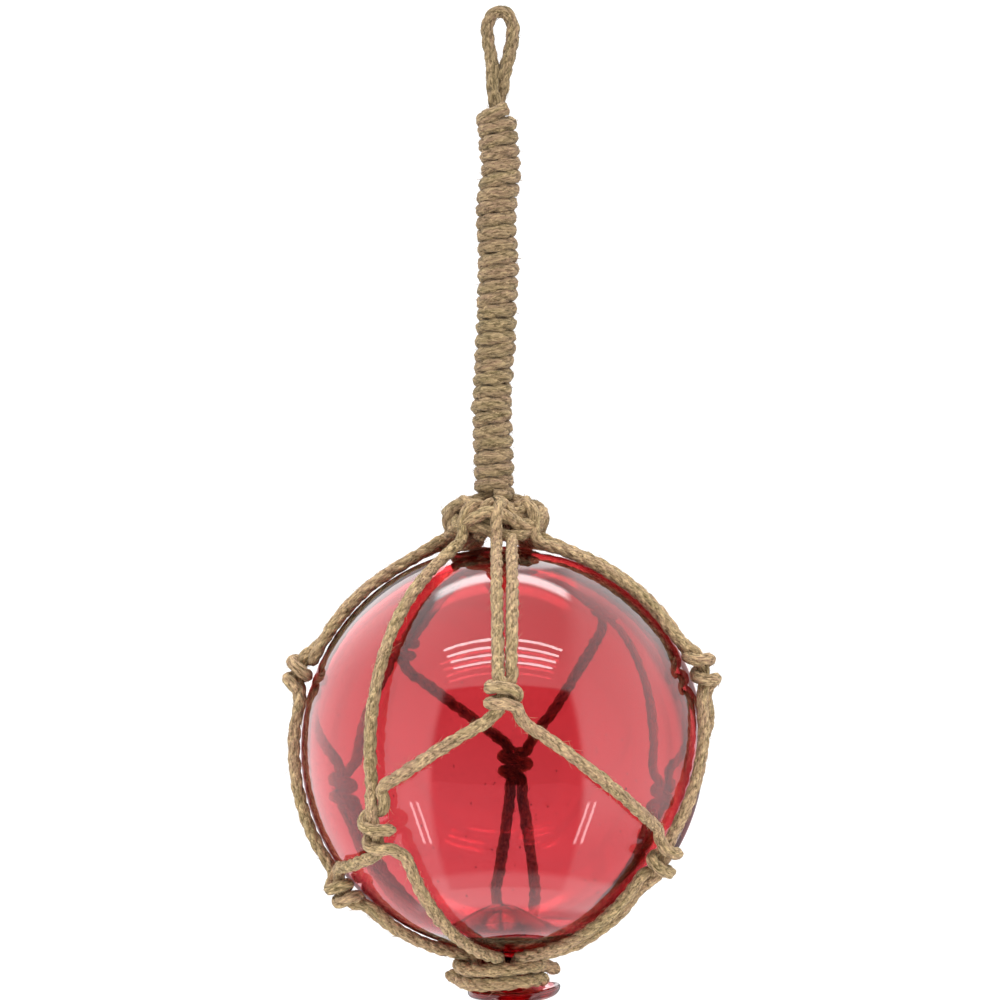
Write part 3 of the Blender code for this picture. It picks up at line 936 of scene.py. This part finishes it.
def studio_world(settings):
    """Even white studio light, with the overhead louvre and the dark gap that the glass mirrors."""
    world = bpy.data.worlds.new("studio")
    world.use_nodes = True
    bpy.context.scene.world = world
    graph = Graph(world.node_tree)
    way = graph.value("ShaderNodeTexCoord", output="Generated")
    split = graph.node("ShaderNodeSeparateXYZ", {0: way})
    x, y, z = (Value(graph, socket) for socket in split.outputs)

    # Where on a mirror ball, seen from the front, this direction shows
    reach = (2.0 - 2.0 * y).maths("MAXIMUM", 0.0001).maths("SQRT")
    u, v = x / reach, z / reach

    # The room: brighter on the left, at the upper left and at a window on the right, darker
    # towards the floor and in a ring round the backdrop
    left = 1.0 - u.rising(-0.85, 0.45)
    corner = v.rising(0.30, 0.75)
    window = u.within(0.42, 0.72, 0.15) * v.rising(-0.50, -0.20)
    room = 1.45 + 0.55 * left - 0.35 * corner + 1.3 * left * corner + 0.9 * window
    room = room * (0.55 + 0.45 * v.rising(-0.75, -0.10))
    room = room * (1.0 - 0.75 * y.within(0.88, 0.968, 0.02))

    # The dark gap in front, where the camera stands
    bowed = v + 0.35 * u * u
    bulge = (u - 0.02).size() + 0.35 * (v + 0.12) ** 2.0
    gap = bulge.within(-1.0, 0.345, 0.045) * bowed.within(-0.64, 0.325, 0.02)

    # The lamp above it, and the louvre overhead with its bright slats
    lamp = (v + 0.9 * u * u).within(0.845, 0.862, 0.022) * u.size().within(0.06, 0.30, 0.06)
    across, down = x / z, y / z
    overhead = z.rising(0.30, 0.34)
    louvre = across.size().within(-1.0, 0.58, 0.02) * down.within(-0.81, -0.37, 0.01) * overhead
    slats = (down * 9.0 + 0.30).maths("FRACT").within(0.42, 0.58, 0.16)

    # Two thin upright lines on each side, and the pale sill below the gap
    lean = u.size() - 0.357 * v
    edge = lean.within(0.494, 0.500, 0.006) + lean.within(0.526, 0.532, 0.006)
    edge = edge * v.within(-0.43, -0.25, 0.02)
    sill = bowed.within(-0.72, -0.60, 0.05) * u.within(-0.34, 0.50, 0.08)

    # The pale patch at the very top and the table below
    crest = v.within(0.90, 0.965, 0.02) * u.within(-0.30, 0.40, 0.10)
    table = 1.0 - v.rising(-0.95, -0.86)
    mirrored = room * (1.0 - gap * 0.98) + 8.0 * lamp + 13.0 * louvre * slats
    mirrored = mirrored + 7.0 * edge + 1.1 * sill + 2.2 * crest + 1.1 * table

    # The backdrop, seen through the glass
    behind = y.rising(0.968, 0.986)
    low = 1.0 - z.rising(-0.20, -0.09)
    mirrored = mirrored * (1.0 - behind) + settings.backdrop * behind * (1.0 - 0.6 * low)

    # Matt surfaces get an even light, and the camera sees plain white
    soft = settings.light * (0.78 + 0.42 * z + 0.10 * left)
    path = graph.node("ShaderNodeLightPath")
    diffuse = Value(graph, path.outputs["Is Diffuse Ray"])
    seen = Value(graph, path.outputs["Is Camera Ray"])
    level = mirrored * (1.0 - diffuse) + soft * diffuse
    level = level * (1.0 - seen) + seen * 1.2
    sky = graph.node("ShaderNodeBackground", {"Color": (1.0, 1.0, 1.0, 1.0), "Strength": level})
    graph.node("ShaderNodeOutputWorld", {"Surface": sky.outputs[0]})


def pale_floor(settings):
    """A plain pale floor below the float."""
    mesh = bmesh.new()
    bmesh.ops.create_grid(mesh, x_segments=8, y_segments=8, size=0.60)
    bmesh.ops.translate(mesh, vec=(0.0, -0.25, settings.floor_height), verts=mesh.verts)
    data = bpy.data.meshes.new("floor")
    mesh.to_mesh(data)
    mesh.free()
    material, graph = new_material("pale_floor")
    place = graph.value("ShaderNodeTexCoord", output="Object")
    grain = graph.noise(place, 60.0)
    colour = graph.mix(grain, (0.86, 0.86, 0.85, 1.0), (0.90, 0.90, 0.89, 1.0))
    shader = graph.node("ShaderNodeBsdfPrincipled", {"Base Color": colour, "Roughness": 0.7})
    graph.node("ShaderNodeOutputMaterial", {"Surface": shader.outputs[0]})
    data.materials.append(material)
    floor = bpy.data.objects.new("floor", data)
    bpy.context.collection.objects.link(floor)
    floor.visible_glossy = False


def studio_camera():
    """The camera at the photograph's angle: level, and a little above the ball's middle."""
    data = bpy.data.cameras.new("camera")
    data.lens = CAMERA_LENS
    data.sensor_width = 36.0
    data.clip_end = 20.0
    camera = bpy.data.objects.new("camera", data)
    camera.location = CAMERA_PLACE
    camera.rotation_euler = (math.pi / 2, 0.0, 0.0)
    bpy.context.collection.objects.link(camera)
    bpy.context.scene.camera = camera


# The add-on

class FloatGlassSettings(bpy.types.PropertyGroup):
    """Sizes and colours of the glass."""

    wall: bpy.props.FloatProperty(
        name="Wall", description="Mean thickness of the glass", default=0.00315, unit="LENGTH"
    )
    wall_drop: bpy.props.FloatProperty(
        name="Wall drop", description="How far the hollow sits below the ball's middle",
        default=0.0022, unit="LENGTH",
    )
    seal_rise: bpy.props.FloatProperty(
        name="Seal rise", description="How far the glass heaps up inside over the seal",
        default=0.017, unit="LENGTH",
    )
    seal_reach: bpy.props.FloatProperty(
        name="Seal reach", description="How far from the middle that heap reaches", default=0.033,
        unit="LENGTH",
    )
    seed_count: bpy.props.IntProperty(
        name="Seeds", description="Number of bubbles in the wall", default=520
    )
    glass_colour: bpy.props.FloatVectorProperty(
        name="Glass colour", description="Colour of light through one wall", subtype="COLOR",
        default=(0.80, 0.32, 0.35),
    )
    depth_colour: bpy.props.FloatVectorProperty(
        name="Depth colour", description="Colour that thick glass takes on", subtype="COLOR",
        default=(0.777, 0.038, 0.10),
    )
    depth_strength: bpy.props.FloatProperty(
        name="Depth strength", description="How fast thick glass darkens, per metre", default=190.0
    )


class FloatCordSettings(bpy.types.PropertyGroup):
    """Sizes and colours of the jute cord."""

    cord_diameter: bpy.props.FloatProperty(
        name="Cord diameter", description="Diameter of the laid cord", default=0.0047, unit="LENGTH"
    )
    eye_diameter: bpy.props.FloatProperty(
        name="Eye diameter", description="Diameter of the hanger's eyed cord", default=0.0051,
        unit="LENGTH",
    )
    wrap_diameter: bpy.props.FloatProperty(
        name="Wrap diameter", description="Diameter of the hanger's winding cord", default=0.0058,
        unit="LENGTH",
    )
    lashing_diameter: bpy.props.FloatProperty(
        name="Lashing diameter", description="Diameter of the cord lashed round the neck",
        default=0.0052, unit="LENGTH",
    )
    lay_length: bpy.props.FloatProperty(
        name="Lay length", description="Length of one full twist of the strands", default=0.0175,
        unit="LENGTH",
    )
    fibre_spacing: bpy.props.FloatProperty(
        name="Fibre spacing", description="Length of cord for each loose fibre", default=0.0005,
        unit="LENGTH",
    )
    pale_colour: bpy.props.FloatVectorProperty(
        name="Pale fibres", description="Colour of the palest fibres", subtype="COLOR",
        default=(0.52, 0.375, 0.205),
    )
    cord_colour: bpy.props.FloatVectorProperty(
        name="Cord colour", description="Khaki colour of most of the cord", subtype="COLOR",
        default=(0.315, 0.235, 0.110),
    )
    pink_colour: bpy.props.FloatVectorProperty(
        name="Pinkish cord", description="Colour of the warmer stretches", subtype="COLOR",
        default=(0.42, 0.265, 0.165),
    )
    # Painted shade for the grooves and the gaps between fibres; a darker share of it gives the real
    # dark specks
    groove_shade_and_speck_colour: bpy.props.FloatVectorProperty(
        name="Groove colour", description="Colour down between the strands", subtype="COLOR",
        default=(0.115, 0.078, 0.034),
    )


class FloatStudioSettings(bpy.types.PropertyGroup):
    """Light and floor."""

    light: bpy.props.FloatProperty(
        name="Light", description="Brightness of the soft light", default=1.15
    )
    backdrop: bpy.props.FloatProperty(
        name="Backdrop", description="Brightness of the backdrop through the glass", default=1.25
    )
    floor_height: bpy.props.FloatProperty(
        name="Floor height", description="Height of the floor", default=-0.46, unit="LENGTH"
    )


class FLOAT_OT_glass_ball(bpy.types.Operator):
    """Build the hollow glass ball with its seal and seeds"""

    bl_idname = "float_net.glass_ball"
    bl_label = "Glass Ball"

    def execute(self, context):
        make_glass(context.scene.float_glass)
        return {"FINISHED"}


class FLOAT_OT_hanger(bpy.types.Operator):
    """Build the hanger: its eyed cord and the cord wound round it"""

    bl_idname = "float_net.hanger"
    bl_label = "Hanger"

    def execute(self, context):
        settings = context.scene.float_cord
        make_cord(
            "hanger_rope", "hanger_cord", [hanger_cord_route()], settings, "hanger_jute",
            radius=settings.eye_diameter / 2,
        )
        winding = wrap_route(random.Random("winding"))
        make_cord(
            "hanger_winding", "hanger_wrap", [winding], settings, "hanger_jute",
            radius=settings.wrap_diameter / 2,
        )
        return {"FINISHED"}


class FLOAT_OT_crown(bpy.types.Operator):
    """Build the ring of cord at the crown"""

    bl_idname = "float_net.crown"
    bl_label = "Crown Ring"

    def execute(self, context):
        rings = []
        for outward, rise, wave, waves, first in CROWN_TURNS:
            turn = []
            for azimuth in range(0, 360, 12):
                phase = math.radians(waves * azimuth + first)
                radius = RING_RADIUS + (outward + 0.45 * wave * math.cos(phase)) * LAY
                height = RING_HEIGHT + (rise + wave * math.sin(phase)) * LAY
                turn.append(ring_point(azimuth, radius, height) + (CROWN_SHIFT, 0, 0))
            rings.append(turn)
        make_cord("crown_rope", "crown_ring", rings, context.scene.float_cord, "jute", closed=True)
        return {"FINISHED"}


class FLOAT_OT_net(bpy.types.Operator):
    """Build the knotted cords of the net"""

    bl_idname = "float_net.net"
    bl_label = "Net Cords"

    def execute(self, context):
        settings = context.scene.float_cord
        routes = {name: folded_cord_route(name) for name in FOLDED_CORDS}
        routes["front_left"] = single_cord_route()
        for name, route in routes.items():
            make_cord("net_rope_" + name, "net_cord_" + name, [route], settings, "jute")
        return {"FINISHED"}


class FLOAT_OT_lashing(bpy.types.Operator):
    """Build the lashing round the strand ends at the neck"""

    bl_idname = "float_net.lashing"
    bl_label = "Neck Lashing"

    def execute(self, context):
        settings = context.scene.float_cord
        make_cord(
            "lashing_rope", "neck_lashing", [lashing_route()], settings, "jute",
            radius=settings.lashing_diameter / 2,
        )
        return {"FINISHED"}


class FLOAT_OT_stage(bpy.types.Operator):
    """Build the studio: light, floor and camera"""

    bl_idname = "float_net.stage"
    bl_label = "Stage"

    def execute(self, context):
        scene = context.scene
        studio_world(scene.float_studio)
        pale_floor(scene.float_studio)
        studio_camera()
        scene.view_settings.view_transform = "Standard"
        scene.cycles.max_bounces = 20
        scene.cycles.transmission_bounces = 18
        scene.cycles.glossy_bounces = 10
        return {"FINISHED"}


class FLOAT_PT_panel(bpy.types.Panel):
    """Lists the float's settings and its pieces"""

    bl_idname = "FLOAT_PT_panel"
    bl_label = "Netted Glass Float"
    bl_space_type = "VIEW_3D"
    bl_region_type = "UI"
    bl_category = "Float"

    def draw(self, context):
        for owner in ("float_glass", "float_cord", "float_studio"):
            box = self.layout.box()
            settings = getattr(context.scene, owner)
            for name in settings.__annotations__:
                box.prop(settings, name)
        for step in BUILD_ORDER:
            self.layout.operator(step.bl_idname)


BUILD_ORDER = (
    FLOAT_OT_stage, FLOAT_OT_glass_ball, FLOAT_OT_hanger, FLOAT_OT_crown, FLOAT_OT_net,
    FLOAT_OT_lashing,
)
SETTINGS = {
    "float_glass": FloatGlassSettings,
    "float_cord": FloatCordSettings,
    "float_studio": FloatStudioSettings,
}


def register():
    """Adds the settings, operators and panel."""
    for owner, group in SETTINGS.items():
        bpy.utils.register_class(group)
        setattr(bpy.types.Scene, owner, bpy.props.PointerProperty(type=group))
    for step in (*BUILD_ORDER, FLOAT_PT_panel):
        bpy.utils.register_class(step)


def unregister():
    """Takes the settings, operators and panel away."""
    for step in (FLOAT_PT_panel, *reversed(BUILD_ORDER)):
        bpy.utils.unregister_class(step)
    for owner, group in SETTINGS.items():
        delattr(bpy.types.Scene, owner)
        bpy.utils.unregister_class(group)


def main():
    """Builds every piece."""
    register()
    jute_material("laid_jute", bpy.context.scene.float_cord, 1.0)
    # The hanger's jute is the same jute painted darker, as painted shade
    jute_material("laid_hanger_jute", bpy.context.scene.float_cord, HANGER_PAINTED_SHADE)
    for step in BUILD_ORDER:
        group, action = step.bl_idname.split(".")
        getattr(getattr(bpy.ops, group), action)()


if __name__ == "__main__":
    main()
